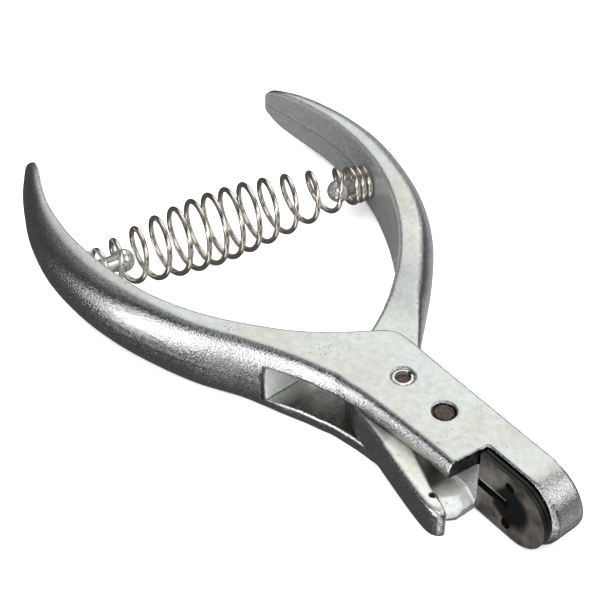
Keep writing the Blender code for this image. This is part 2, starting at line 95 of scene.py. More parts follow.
# The die
DIE_START_X = 24.0
DIE_CENTRE_X = 33.8
DIE_R = 7.9
DIE_Y = (-1.6, -0.7)
BACKING_Y = (-0.4, 0.3)
SLIT_HALF = 1.1
SLIT_END_X = 31.8
RECESS_DEPTH = 0.35
RECESS_CENTRE_X = 31.2
RECESS_RADII = (5.4, 4.4)
SCREW_X = 32.0
SCREW_Z = 5.1
SCREW_HOLE_R = 1.15

# The lever's tail and the blade in it
TAIL_ANGLE = math.radians(-21.5)
TAIL_OFFSET = -2.55
BLADE_S = (24.0, 29.2)
BLADE_HALF = 0.8
BLADE_PROUD = 0.9
BLADE_DEPTH = 1.9
RETAINING_PIN_R = 0.5
RETAINING_PIN_HALF = 3.9

# The spring and its studs
SPRING_START = (-72.9, -26.4)
SPRING_END = (-58.7, 41.5)
SPRING_LIFT = (1.1, 1.1)
SPRING_BOW = 1.5
SPRING_LEAN = math.radians(11)
SPRING_LEAN_AXIS = math.radians(43.7)
SPRING_PHASE = math.radians(60)
SPRING_WIRE_R = 0.62
SPRING_END_R = 3.7
SPRING_BELLY_R = 7.6
SPRING_SKEW = 0.85
SPRING_OPEN_TURNS = 12
SPRING_CLOSED_TURNS = (1.3, 2.7)
SPRING_CLOSED_PITCH = 1.56
SPRING_PITCH_SWING = 0.17
SPRING_PITCH_SKEW = 0.1
COIL_STEPS = 48            # rings along one turn of the wire
WIRE_SIDES = 14
STUD_NECK_R = 1.9
STUD_HEAD_R = 2.65
STUD_PROUD = 10.6

# The stage, in metres, and the camera, in mm from the pivot
FLOOR_HALF = 1.6
FLOOR_Z = -0.00002
BACKDROP_R = 1.55
BACKDROP_HEIGHT = 1.6
BACKDROP_STEPS = 96
CAMERA_AZIMUTH = math.radians(51.2)    # round from the -Y side towards the nose
CAMERA_ELEVATION = math.radians(43.0)
CAMERA_DISTANCE = 344.7
CAMERA_TARGET = (-34.7, 3.5, 0.0)
CAMERA_SENSOR = 36.0
CAMERA_LENS = 95.29412

# Handle sections: crisp edge (x, y), round side (x, y), half height, rounding depth
FRAME_SECTIONS = (
    ((-111.5, -16.1), (-112.1, -17.6), 1.7, 0.7),
    ((-110.1, -16.5), (-111.1, -18.8), 2.7, 1.5),
    ((-106.7, -17.8), (-108.1, -21.3), 3.8, 2.9),
    ((-102.1, -20.0), (-103.3, -24.5), 4.8, 3.6),
    ((-96.4, -22.5), (-97.1, -27.8), 5.7, 4.3),
    ((-89.5, -24.8), (-89.4, -31.2), 6.5, 5.0),
    ((-79.0, -26.6), (-78.5, -33.9), 7.2, 5.6),
    ((-68.0, -26.9), (-67.2, -34.2), 7.8, 5.1),
    ((-58.4, -26.1), (-56.6, -32.8), 8.2, 4.8),
    ((-49.8, -24.3), (-47.2, -30.0), HALF_HEIGHT, 4.1),
    ((-40.0, -20.0), (-36.6, -25.8), HALF_HEIGHT, 3.4),
    ((-31.0, -14.1), (-27.0, -20.4), HALF_HEIGHT, 3.2),
    ((-23.0, -7.4), (-20.2, -16.8), HALF_HEIGHT, 2.9),
    ((-17.8, -1.3), (-15.0, -14.1), HALF_HEIGHT, 2.4),
    ((-14.2, 3.6), (-10.6, -12.5), HALF_HEIGHT, 2.3),
    ((-11.6, 6.9), (-8.2, -11.6), HALF_HEIGHT, 2.3),
    ((-8.4, 8.1), (-5.4, -10.9), HALF_HEIGHT, 1.9),
    ((0.0, 8.1), (0.0, -10.0), HALF_HEIGHT, 1.8),
    ((11.0, 8.1), (11.0, -9.0), HALF_HEIGHT, 1.6),
    ((22.0, 8.1), (22.0, -8.6), HALF_HEIGHT, 1.5),
    ((NOSE_X, 8.1), (NOSE_X, -8.6), HALF_HEIGHT, 1.5),
)
LEVER_SECTIONS = (
    ((-98.4, 41.6), (-98.7, 43.4), 2.3, 0.7),
    ((-97.2, 41.8), (-97.2, 44.9), 3.5, 1.8),
    ((-94.2, 42.2), (-93.6, 46.6), 4.8, 3.6),
    ((-90.2, 42.8), (-88.8, 48.4), 5.7, 4.8),
    ((-84.4, 43.5), (-82.6, 49.8), 6.3, 5.3),
    ((-76.1, 44.0), (-74.4, 50.8), 6.8, 5.5),
    ((-66.1, 43.2), (-64.0, 50.4), 7.2, 5.5),
    ((-55.8, 40.6), (-53.0, 47.7), 7.8, 5.3),
    ((-45.6, 36.2), (-41.6, 43.2), 8.4, 4.8),
    ((-36.4, 30.6), (-31.6, 37.0), 8.3, 4.2),
    ((-29.3, 24.6), (-23.2, 29.2), 7.3, 3.7),
    ((-24.2, 18.4), (-16.9, 21.9), 5.6, 2.9),
    ((-20.6, 12.7), (-11.3, 15.6), 4.3, 1.6),
    ((-17.4, 6.5), (-4.2, 9.2), LEVER_HALF, 1.0),
    ((-14.6, -0.2), (2.4, 7.1), LEVER_HALF, 0.8),
    ((-9.6, -6.6), (6.4, 3.9), LEVER_HALF, 0.8),
    ((-2.6, -9.9), (7.0, -2.7), LEVER_HALF, 0.8),
    ((5.4, -11.6), (9.6, -6.75), LEVER_HALF, 0.8),
    ((13.4, -13.4), (15.2, -8.95), LEVER_HALF, 0.8),
    ((20.6, -14.9), (22.4, -11.75), LEVER_HALF, 0.8),
    ((25.0, -15.5), (26.9, -12.9), 3.9, 0.8),
    ((27.2, -15.2), (28.1, -13.7), 3.1, 0.7),
    ((28.1, -14.6), (28.6, -13.8), 1.8, 0.4),
)


# ---------------------------------------------------------------- node materials

class Nodes:
    """A small helper for building one material's nodes."""

    def __init__(self, name):
        self.material = bpy.data.materials.new(name)
        self.material.use_nodes = True
        self.tree = self.material.node_tree
        self.shader = self.tree.nodes["Principled BSDF"]
        self.coords = self.tree.nodes.new("ShaderNodeTexCoord").outputs["Object"]

    def node(self, kind, inputs=(), **settings):
        made = self.tree.nodes.new(kind)
        for key, value in settings.items():
            setattr(made, key, value)
        for key, value in dict(inputs).items():
            self.feed(made.inputs[key], value)
        return made

    def feed(self, socket, value):
        if isinstance(value, bpy.types.NodeSocket):
            self.tree.links.new(value, socket)
        else:
            socket.default_value = value

    def noise(self, scale, detail=4.0, rough=0.55):
        made = self.node("ShaderNodeTexNoise", {"Vector": self.coords, "Scale": scale,
                                                "Detail": detail, "Roughness": rough})
        return made.outputs["Fac"]

    def spots(self, scale):
        made = self.node("ShaderNodeTexVoronoi", {"Vector": self.coords, "Scale": scale})
        return made.outputs["Distance"]

    def ramp(self, value, stops):
        made = self.node("ShaderNodeValToRGB", {"Fac": value})
        ramp = made.color_ramp
        while len(ramp.elements) < len(stops):
            ramp.elements.new(0.5)
        for element, (position, colour) in zip(ramp.elements, stops):
            element.position = position
            element.color = (*colour, 1.0) if isinstance(colour, tuple) else (colour,) * 3 + (1.0,)
        return made.outputs["Color"]

    def math(self, operation, a, b=0.0, clamp=False):
        made = self.node("ShaderNodeMath", {0: a, 1: b}, operation=operation, use_clamp=clamp)
        return made.outputs[0]

    def mix(self, factor, a, b):
        made = self.node("ShaderNodeMix", data_type="RGBA")
        self.feed(made.inputs[0], factor)
        self.feed(made.inputs[6], a if isinstance(a, bpy.types.NodeSocket) else (*a, 1.0))
        self.feed(made.inputs[7], b if isinstance(b, bpy.types.NodeSocket) else (*b, 1.0))
        return made.outputs[2]

    def bump(self, height, strength, distance, normal=None):
        inputs = {"Height": height, "Strength": strength, "Distance": distance}
        if normal is not None:
            inputs["Normal"] = normal
        return self.node("ShaderNodeBump", inputs).outputs["Normal"]

    def attribute(self, name):
        return self.node("ShaderNodeAttribute", attribute_name=name).outputs["Fac"]

    def normal_part(self, axis):
        geometry = self.node("ShaderNodeNewGeometry")
        split = self.node("ShaderNodeSeparateXYZ", {"Vector": geometry.outputs["Normal"]})
        return split.outputs[axis]

    def seam_line(self):
        """A thin wavering line half way up, where the mould's halves met."""
        split = self.node("ShaderNodeSeparateXYZ", {"Vector": self.coords})
        wander = self.math("MULTIPLY", self.math("SUBTRACT", self.noise(350, 3.0), 0.5), 0.5 * MM)
        height = self.math("SUBTRACT", split.outputs["Z"], PIVOT.z)
        away = self.math("ABSOLUTE", self.math("ADD", height, wander))
        return self.ramp(self.math("DIVIDE", away, 0.3 * MM), ((0.25, 1.0), (0.9, 0.0)))

    def depth_below(self, level, depth):
        """From 0 at the level in Y, in metres, to 1 at the depth behind it."""
        split = self.node("ShaderNodeSeparateXYZ", {"Vector": self.coords})
        behind = self.math("SUBTRACT", split.outputs["Y"], level)
        return self.math("DIVIDE", behind, depth, clamp=True)

    def set(self, name, value):
        self.feed(self.shader.inputs[name], value)


def zinc_flat_colour(m, patches):
    """Greenish grey flats, with paler patches, yellowish stains and a fine mottle."""
    stains = m.noise(30, 4.0, 0.55)
    mottle = m.ramp(m.noise(800, 4.0, 0.7), ((0.34, 0.0), (0.62, 1.0)))
    pale = m.mix(m.ramp(patches, ((0.36, 0.0), (0.66, 1.0))),
                 (0.735, 0.77, 0.735), (0.83, 0.845, 0.82))
    pale = m.mix(m.math("MULTIPLY", m.ramp(stains, ((0.54, 0.0), (0.68, 1.0))), 0.6),
                 pale, (0.77, 0.745, 0.63))
    return m.mix(m.math("MULTIPLY", m.math("SUBTRACT", 1.0, mottle), 0.28), pale,
                 (0.30, 0.32, 0.30))


def zinc_pits(m):
    """Scattered pits in two sizes, in patches."""
    pits = m.ramp(m.spots(520), ((0.07, 1.0), (0.16, 0.0)))
    pick = m.ramp(m.noise(140, 2.0), ((0.58, 0.0), (0.64, 1.0)))
    fine_pits = m.ramp(m.spots(1300), ((0.10, 1.0), (0.22, 0.0)))
    fine_pick = m.ramp(m.noise(90, 3.0), ((0.55, 0.0), (0.62, 1.0)))
    return m.math("MAXIMUM", m.math("MULTIPLY", pits, pick),
                  m.math("MULTIPLY", fine_pits, fine_pick))


def zinc_material():
    """Plated zinc casting: smooth pale flats with scuffs, and grainy tumbled sides."""
    m = Nodes("zinc_plated_casting")
    flat = m.ramp(m.math("ABSOLUTE", m.normal_part("Z")), ((0.955, 0.0), (0.992, 1.0)))
    inner = m.attribute("pale")
    # Painted shade: faces marked with this attribute are coloured near black, where shade falls.
    painted_shade = m.attribute("painted_shade")
    seam = m.math("MULTIPLY", m.seam_line(), m.attribute("seam"))
    grain = m.noise(2600, 3.0, 0.6)
    coarse = m.noise(1100, 4.0, 0.6)
    patches = m.noise(60, 5.0, 0.65)
    pit = zinc_pits(m)

    side = m.mix(m.ramp(grain, ((0.38, 0.0), (0.60, 1.0))),
                 (0.44, 0.45, 0.465), (0.78, 0.79, 0.80))
    wall = m.mix(m.ramp(coarse, ((0.35, 0.0), (0.65, 1.0))),
                 (0.60, 0.63, 0.62), (0.76, 0.78, 0.76))
    # The mottled near-black colour of the painted shade.
    shade_colour = m.mix(m.ramp(coarse, ((0.40, 0.0), (0.60, 1.0))),
                 (0.045, 0.049, 0.045), (0.13, 0.138, 0.126))
    colour = m.mix(flat, m.mix(inner, side, wall), zinc_flat_colour(m, patches))
    colour = m.mix(m.math("MULTIPLY", pit, 0.55), colour, (0.20, 0.20, 0.19))
    colour = m.mix(seam, colour, (0.16, 0.165, 0.16))
    m.set("Base Color", m.mix(painted_shade, colour, shade_colour))
    m.set("Metallic", m.ramp(inner, ((0.0, 1.0), (1.0, 0.40))))

    rough_side = m.ramp(coarse, ((0.3, 0.15), (0.7, 0.24)))
    rough_flat = m.ramp(patches, ((0.3, 0.34), (0.7, 0.46)))
    m.set("Roughness", m.mix(flat, rough_side, rough_flat))

    bumps = m.bump(grain, 1.0, 0.0001)
    bumps = m.bump(coarse, 0.3, 0.0001, bumps)
    bumps = m.bump(seam, 1.0, 0.0002, bumps)
    calm = m.bump(coarse, 0.10, 0.00005)
    calm = m.bump(pit, 0.5, -0.0001, calm)
    normal = m.node("ShaderNodeMix", data_type="VECTOR")
    m.feed(normal.inputs[0], m.math("MAXIMUM", flat, m.math("MULTIPLY", inner, 0.7)))
    m.feed(normal.inputs[4], bumps)
    m.feed(normal.inputs[5], calm)
    m.set("Normal", normal.outputs[1])
    return m.material


def metal_material(name, dark, light, roughness, grain_scale, bump, metallic=1.0):
    """A plain worked metal with cloudy colour, fine grain and a little bump."""
    m = Nodes(name)
    cloud = m.noise(160, 4.0, 0.6)
    grain = m.noise(grain_scale, 3.0, 0.6)
    blend = m.math("ADD", m.math("MULTIPLY", cloud, 0.55), m.math("MULTIPLY", grain, 0.45))
    m.set("Base Color", m.mix(m.ramp(blend, ((0.36, 0.0), (0.64, 1.0))), dark, light))
    m.set("Metallic", metallic)
    m.set("Roughness", m.ramp(cloud, ((0.3, roughness * 0.85), (0.7, roughness * 1.15))))
    m.set("Normal", m.bump(grain, bump, 0.00005))
    return m.material


def die_material():
    """Blackened steel: a brownish satin face and dark edges, and painted shade in the recess."""
    m = Nodes("blackened_die_steel")
    cloud = m.noise(210, 5.0, 0.65)
    streaks = m.noise(2200, 2.0, 0.5)
    face = m.mix(m.ramp(cloud, ((0.34, 0.0), (0.68, 1.0))), (0.10, 0.088, 0.083),
                 (0.36, 0.32, 0.30))
    front = m.math("LESS_THAN", m.normal_part("Y"), -0.9)
    face = m.mix(front, (0.02, 0.018, 0.018), face)
    # Painted shade: the shallow recess round the slit's end is coloured near black.
    recess = m.ramp(m.depth_below(place((0.0, DIE_Y[0], 0.0)).y, RECESS_DEPTH * MM),
                    ((0.02, 0.0), (0.75, 1.0)))
    m.set("Base Color", m.mix(recess, face, (0.020, 0.022, 0.020)))
    m.set("Metallic", 0.85)
    m.set("Roughness", m.ramp(cloud, ((0.3, 0.30), (0.7, 0.42))))
    m.set("Normal", m.bump(streaks, 0.25, 0.00005))
    return m.material


def floor_material():
    m = Nodes("pale_floor")
    cloud = m.noise(3.0, 2.0)
    m.set("Base Color", m.ramp(cloud, ((0.3, 0.90), (0.7, 0.92))))
    m.set("Roughness", 0.9)
    m.set("Specular IOR Level", 0.1)
    m.set("Emission Color", (1.0, 1.0, 1.0, 1.0))
    m.set("Emission Strength", 0.15)
    return m.material


def backdrop_material():
    m = Nodes("pale_backdrop")
    m.set("Base Color", (0.9, 0.9, 0.9, 1.0))
    m.set("Emission Color", (1.0, 1.0, 1.0, 1.0))
    m.set("Emission Strength", 0.9)
    return m.material


# -------------------------------------------------------------------- mesh tools

def place(point):
    return Vector((point[0] * MM, point[1] * MM, point[2] * MM)) + PIVOT


def build(name, verts, faces, material, sharp=40.0):
    """A shaded mesh object from points in the pivot's frame, in mm."""
    mesh = bpy.data.meshes.new(name)
    mesh.from_pydata([place(p) for p in verts], [], faces)
    bm = bmesh.new()
    bm.from_mesh(mesh)
    bmesh.ops.remove_doubles(bm, verts=bm.verts, dist=0.000002)
    bmesh.ops.recalc_face_normals(bm, faces=bm.faces)
    bm.to_mesh(mesh)
    bm.free()
    mesh.materials.append(material)
    obj = bpy.data.objects.new(name, mesh)
    bpy.context.scene.collection.objects.link(obj)
    mesh.shade_smooth()
    mesh.set_sharp_from_angle(angle=math.radians(sharp))
    return obj


def boolean(obj, cutter):
    mod = obj.modifiers.new("Cut", "BOOLEAN")
    mod.operation = "DIFFERENCE"
    mod.object = cutter
    mod.solver = "EXACT"
    cutter.hide_render = True
    return cutter


def bake_modifiers(obj, cutters=()):
    """Makes the evaluated mesh the object's own, and removes the cutters."""
    depsgraph = bpy.context.evaluated_depsgraph_get()
    mesh = bpy.data.meshes.new_from_object(obj.evaluated_get(depsgraph))
    obj.modifiers.clear()
    obj.data = mesh
    for cutter in cutters:
        bpy.data.objects.remove(cutter, do_unlink=True)


def soften(obj, voxel, rounds, keep):
    """Rounds every edge a little, as a casting has it: remesh, smooth, thin out."""
    mod = obj.modifiers.new("Remesh", "REMESH")
    mod.mode = "VOXEL"
    mod.voxel_size = voxel * MM
    mod.use_smooth_shade = True
    smooth = obj.modifiers.new("Smooth", "SMOOTH")
    smooth.factor = 0.5
    smooth.iterations = rounds
    thin = obj.modifiers.new("Thin", "DECIMATE")
    thin.ratio = keep
    bake_modifiers(obj)
    obj.data.shade_smooth()


def spline(points, steps):
    """Catmull-Rom curve through rows of numbers, with the given steps per span."""
    rows = np.array(points, dtype=float)
    rows = np.vstack((2 * rows[0] - rows[1], rows, 2 * rows[-1] - rows[-2]))
    curve = []
    for i in range(1, len(rows) - 2):
        a, b, c, d = rows[i - 1:i + 3]
        for k in range(steps):
            t = k / steps
            curve.append(0.5 * (2 * b + (c - a) * t + (2 * a - 5 * b + 4 * c - d) * t ** 2
                                + (3 * b - a - 3 * c + d) * t ** 3))
    curve.append(rows[-2])
    return np.array(curve)


def bridge_rings(rings):
    """Vertices and faces of a solid through rings of points, with its ends closed."""
    count = len(rings[0])
    verts = [tuple(p) for ring in rings for p in ring]
    faces = []
    for r in range(len(rings) - 1):
        for k in range(count):
            nxt = (k + 1) % count
            faces.append((r * count + k, r * count + nxt,
                          (r + 1) * count + nxt, (r + 1) * count + k))
    faces.append(tuple(reversed(range(count))))
    last = (len(rings) - 1) * count
    faces.append(tuple(range(last, last + count)))
    return verts, faces


def prism(name, outline, axis, low, high, material):
    """A straight prism over a flat outline: axis 1 is Y (outline in x, z), 2 is Z."""
    def point(p, level):
        return (p[0], level, p[1]) if axis == 1 else (p[0], p[1], level)
    rings = [[point(p, low) for p in outline], [point(p, high) for p in outline]]
    verts, faces = bridge_rings(rings)
    return build(name, verts, faces, material)


def lathe(name, profile, centre, axis, material, steps=64):
    """A round piece: profile of (radius, distance along the axis), ends closed."""
    direction = np.array(axis, dtype=float)
    direction /= np.linalg.norm(direction)
    side = np.cross(direction, (0.0, 0.0, 1.0))
    if np.linalg.norm(side) < 0.5:
        side = np.array((1.0, 0.0, 0.0))
    side /= np.linalg.norm(side)
    other = np.cross(direction, side)
    rings = []
    for radius, along in profile:
        ring = []
        for k in range(steps):
            angle = 2 * math.pi * k / steps
            offset = radius * (math.cos(angle) * side + math.sin(angle) * other)
            ring.append(tuple(np.array(centre) + along * direction + offset))
        rings.append(ring)
    verts, faces = bridge_rings(rings)
    return build(name, verts, faces, material)


def finish_piece(piece, body, slot, *nodes):
    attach(piece, body)
    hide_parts(*nodes)


# ------------------------------------------------------------------ the castings

def section_ring(crisp, rounded, half, depth):
    """One section of a casting, upright between its crisp edge and its round side."""
    crisp = np.array(crisp)
    across = np.array(rounded) - crisp
    width = np.linalg.norm(across)
    across = across / width
    cheek = min(1.0, max(0.0, (rounded[0] - SLOT_END_X + 6.0) / 12.0))
    low_depth = depth * (1.0 - (1.0 - UNDERSIDE_ROUNDING) * cheek)
    upper = [(-0.055 * half, 0.0)] + half_section(width, half, depth)
    lower = [(u, -z) for u, z in reversed(half_section(width, half, low_depth))]
    return [(crisp[0] + u * across[0], crisp[1] + u * across[1], z)
            for u, z in upper + [(width + 0.05, 0.0)] + lower]


def half_section(width, half, depth):
    """Distance across and height, from the crisp edge over the top to the round side."""
    edge = min(EDGE_R, 0.25 * half, 0.8 * (width - depth) - 0.1)
    fall = half * min(0.92, 0.45 + 0.36 * max(0.0, depth - 1.6))
    points = [(-0.1, half - edge)]
    for k in range(1, 5):
        angle = math.radians(18 * k)
        points.append((edge - (edge + 0.1) * math.cos(angle),
                       half - edge + edge * math.sin(angle)))
    points.append((edge + 0.1, half))
    for k in range(0, 16):
        angle = math.radians(6 * k)
        points.append((width - depth + depth * math.sin(angle),
                       half - fall * (1 - math.cos(angle))))
    return points


def vertex_vectors(mesh, kind):
    values = np.empty(len(mesh.vertices) * 3)
    mesh.vertices.foreach_get(kind, values)
    return values.reshape(-1, 3)


def fade(values, start, length):
    """From 0 at the start to 1 at one length past it."""
    return np.clip((values - start) / length, 0.0, 1.0)


def facing_crisp_side(points, normals, sections):
    """How squarely each vertex faces the crisp side of the section nearest to it."""
    rows = np.array([(*crisp, *rounded) for crisp, rounded, half, depth in sections])
    rows = spline(rows, SECTION_STEPS)
    middle = (rows[:, 0:2] + rows[:, 2:4]) / 2
    outward = rows[:, 0:2] - rows[:, 2:4]
    outward /= np.linalg.norm(outward, axis=1)[:, None]
    nearest = np.zeros(len(points), dtype=int)
    best = np.full(len(points), np.inf)
    for k, centre in enumerate(middle):
        away = ((points[:, 0:2] - centre) ** 2).sum(axis=1)
        closer = away < best
        best[closer] = away[closer]
        nearest[closer] = k
    return (normals[:, 0:2] * outward[nearest]).sum(axis=1)


def frame_marks(points, normals):
    """Where the frame is pale, at the window's end and the slope, and where shade is painted dark.
    """
    x, y, z = points.T
    end_wall = (np.abs(x - SLOT_END_X) < 0.5) & (normals[:, 0] > 0.7)
    slope = (x > 17) & (x < 25) & (z < -SLOT_HALF + 0.4) & (normals[:, 2] > 0.25)
    # Painted shade, coloured near black: the lower cheek's face under the upper cheek, the
    # throat's step and the rim at the window's end.
    floor = (np.abs(z) < SLOT_HALF + 0.3) & (np.abs(normals[:, 2]) > 0.8) & (x > SLOT_END_X)
    floor = floor * fade(-x, -6.0, 8.0) * (z < 0) * fade(x, SLOT_END_X + 0.5, 4.0)
    step = (np.abs(x - THROAT_X) < 1.2) & (z > -1.2) & (normals[:, 0] > 0.6) & (y < JAW_WALL_Y)
    rim = (np.abs(x - SLOT_END_X) < 0.8) & (np.abs(z) < SLOT_HALF + 0.2)
    rim = rim & (normals[:, 0] > 0.25) & (normals[:, 1] < -0.3)
    painted_shade = np.maximum(np.maximum(0.85 * floor, 1.0 * step), 0.9 * rim)
    return 1.0 * (end_wall | slope), painted_shade


def lever_marks(points, normals, crisp_side):
    """The lever's tail is a little pale on top, and its handle's inner face has painted shade,
    darker towards the end.
    """
    x = points[:, 0]
    pale = 0.25 * ((x > 8) & (normals[:, 2] > 0.8))
    return pale, 0.5 * crisp_side * fade(-x, -HEAD_X, 40.0)


def mark_faces(obj, sections, forked):
    """Marks the smoother, paler faces, the ones with painted shade, and where the mould's seam
    shows.
    """
    points = (vertex_vectors(obj.data, "co") - np.array(PIVOT)) / MM
    normals = vertex_vectors(obj.data, "normal")
    x = points[:, 0]
    crisp_side = fade(facing_crisp_side(points, normals, sections), 0.35, 0.4)
    crisp_side = crisp_side * fade(-x, -HEAD_X, 4.0)
    if forked:
        pale, painted_shade = frame_marks(points, normals)
    else:
        pale, painted_shade = lever_marks(points, normals, crisp_side)
    pale = np.maximum(0.55 * crisp_side, pale)
    nose = fade(x, 30.0, 6.0) * (np.abs(normals[:, 2]) < 0.7)
    seam = np.maximum(0.3 * nose, 0.6 * crisp_side)
    for name, values in (("pale", pale), ("painted_shade", painted_shade), ("seam", seam)):
        layer = obj.data.attributes.new(name, "FLOAT", "POINT")
        layer.data.foreach_set("value", values.astype(np.float32))


def casting(name, sections, material, tail_rings=()):
    rows = [(*crisp, *rounded, half, depth) for crisp, rounded, half, depth in sections]
    rings = [section_ring(r[0:2], r[2:4], min(r[4], HALF_HEIGHT), r[5])
             for r in spline(rows, SECTION_STEPS)]
    rings.extend(tail_rings)
    verts, faces = bridge_rings(rings)
    return build(name, verts, faces, material)


def spring_direction():
    run = np.subtract(SPRING_END, SPRING_START)
    return np.append(run / np.linalg.norm(run), 0.0)


def stud_socket(obj, seat, direction, material):
    centre = tuple(np.append(seat, 0.0) - 1.2 * direction)
    profile = [(STUD_NECK_R + GAP, 0), (STUD_NECK_R + GAP, 9)]
    return boolean(obj, lathe("cut_socket", profile, centre, direction, material))


def tail_point(along, across):
    """A plan point by distance along the tail's cutting face and across it."""
    c, s = math.cos(TAIL_ANGLE), math.sin(TAIL_ANGLE)
    return (along * c - across * s, along * s + across * c)


def blade_outline(margin):
    low, high = BLADE_S
    back = TAIL_OFFSET - BLADE_DEPTH - margin
    front = TAIL_OFFSET + BLADE_PROUD + margin
    return [tail_point(low - margin, back), tail_point(high + margin, back),
            tail_point(high + margin, front), tail_point(low - margin, front)]


def retaining_centre():
    x, y = tail_point(sum(BLADE_S) / 2, TAIL_OFFSET - BLADE_DEPTH / 2)
    return (x, y, 0.0)


def throat_slope(material):
    rings = []
    for y, shift in ((-60.0, -26.0), (-7.6, 0.0), (-4.2, 1.9), (-2.3, 1.8), (JAW_WALL_Y, 0.7)):
        profile = ((18.4, 1.0), (18.4, -SLOT_HALF + 0.5), (19.6, -SLOT_HALF), (22.4, -6.9),
                   (22.9, -7.6), (22.9, -20.0), (60.0, -20.0), (60.0, 1.0))
        rings.append([(x + (shift if x < 60 else 0.0), y, z) for x, z in profile])
    verts, faces = bridge_rings(rings)
    return build("cut_throat_slope", verts, faces, material)


def nose_chamfer(material):
    """Cutter for the chamfer round the nose's front edge, fading out at its ends."""
    rings = []
    for k in range(40 + 1):
        angle = math.radians(-85 + 170 * k / 40)
        size = 0.15 + NOSE_CHAMFER * math.cos(angle) ** 1.2
        inner = HALF_HEIGHT - size
        outer = HALF_HEIGHT + 0.3
        corners = ((inner - 0.2, JAW_FACE_Y - 0.2), (outer, JAW_FACE_Y - 0.2),
                   (outer, JAW_FACE_Y + size + 0.3))
        rings.append([(NOSE_X + r * math.cos(angle), y, r * math.sin(angle))
                      for r, y in corners])
    verts, faces = bridge_rings(rings)
    return build("cut_nose_chamfer", verts, faces, material)


def rim_chamfer(material):
    """Cutter for the steep chamfer on the lower cheek's edge, along the window."""
    rows = [(*crisp, *rounded, half, depth) for crisp, rounded, half, depth in FRAME_SECTIONS]
    rings = []
    for row in spline(rows, SECTION_STEPS):
        edge = row[2:4]
        if not SLOT_END_X + 2.0 < edge[0] < 14.0:
            continue
        outward = (edge - row[0:2]) / np.linalg.norm(edge - row[0:2])
        corners = ((-RIM_CHAMFER[0], 0.0), (-RIM_CHAMFER[0], 1.0), (2.0, 1.0),
                   (2.0, -RIM_CHAMFER[1]), (0.0, -RIM_CHAMFER[1]))
        rings.append([(*(edge + u * outward), -SLOT_HALF + z) for u, z in corners])
    return build("cut_rim", *bridge_rings(rings), material)


def make_frame_casting(zinc):
    nose = []
    for k in range(1, 30):
        angle = math.radians(3 * k)
        x = NOSE_X + HALF_HEIGHT * math.sin(angle)
        nose.append(section_ring((x, NOSE_Y[0]), (x, NOSE_Y[1]),
                                 HALF_HEIGHT * math.cos(angle), 1.5))
    obj = casting("frame_casting", FRAME_SECTIONS, zinc, nose)
    far = 60.0
    gap = [(SLOT_END_X, -far), (far, -far), (far, JAW_WALL_Y),
           (JAW_WALL_X + 1.5, JAW_WALL_Y), (JAW_WALL_X, JAW_WALL_Y + 1.5),
           (JAW_WALL_X, far), (SLOT_END_X, far)]
    throat = [(THROAT_X - 0.4, -far), (far, -far), (far, JAW_WALL_Y),
              (THROAT_X + 0.7, JAW_WALL_Y), (THROAT_X, -8)]
    seat = [(DIE_START_X - GAP, -far), (far, -far), (far, JAW_FACE_Y),
            (DIE_START_X - GAP, JAW_FACE_Y)]
    slug = [(DIE_START_X - 0.4, -SLUG_HALF), (SLIT_END_X + 0.6, -SLUG_HALF),
            (SLIT_END_X + 0.6, SLUG_HALF), (DIE_START_X - 0.4, SLUG_HALF)]
    cutters = [
        boolean(obj, prism("cut_gap", gap, 2, -SLOT_HALF, SLOT_HALF, zinc)),
        boolean(obj, prism("cut_throat", throat, 2, -1, 20, zinc)),
        boolean(obj, throat_slope(zinc)),
        boolean(obj, prism("cut_seat", seat, 2, -20, 20, zinc)),
        boolean(obj, nose_chamfer(zinc)),
        boolean(obj, rim_chamfer(zinc)),
        boolean(obj, prism("cut_slug", slug, 1, -5, 20, zinc)),
        stud_socket(obj, SPRING_START, spring_direction(), zinc),
    ]
    top = HALF_HEIGHT
    for x, radius, bevel in ((0.0, PIVOT_HOLE_R, 0.25), (STOP_X, STOP_HOLE_R, 0.1)):
        profile = [(radius + bevel + 1, -top - 1), (radius, -top + bevel),
                   (radius, top - bevel), (radius + bevel + 1, top + 1)]
        cutters.append(boolean(obj, lathe("cut_hole", profile, (x, 0.0, 0.0), (0, 0, 1), zinc)))
    bake_modifiers(obj, cutters)
    soften(obj, CASTING_VOXEL, CASTING_SMOOTHING, CASTING_KEEP)
    mark_faces(obj, FRAME_SECTIONS, True)
    finish_piece(obj, "frame", "zinc_casting", "frame")


def make_lever_casting(zinc):
    obj = casting("lever_casting", LEVER_SECTIONS, zinc)
    face = [tail_point(6.4, TAIL_OFFSET + 1.5), tail_point(7.6, TAIL_OFFSET),
            tail_point(40, TAIL_OFFSET), tail_point(40, 30), tail_point(7.2, 30)]
    pin = [(RETAINING_PIN_R + GAP / 2, -8), (RETAINING_PIN_R + GAP / 2, 8)]
    cutters = [
        boolean(obj, lathe("cut_hole", [(PIVOT_HOLE_R, -8), (PIVOT_HOLE_R, 8)],
                           (0.0, 0.0, 0.0), (0, 0, 1), zinc)),
        boolean(obj, prism("cut_face", face, 2, -10, 10, zinc)),
        boolean(obj, prism("cut_pocket", blade_outline(GAP), 2,
                           -BLADE_HALF - GAP, BLADE_HALF + GAP, zinc)),
        boolean(obj, lathe("cut_pin", pin, retaining_centre(), (0, 0, 1), zinc)),
        stud_socket(obj, SPRING_END, -spring_direction(), zinc),
    ]
    bake_modifiers(obj, cutters)
    soften(obj, CASTING_VOXEL, CASTING_SMOOTHING, CASTING_KEEP)
    mark_faces(obj, LEVER_SECTIONS, False)
    finish_piece(obj, "lever", "zinc_casting", "lever")


# ------------------------------------------------------- pins, die, studs, spring

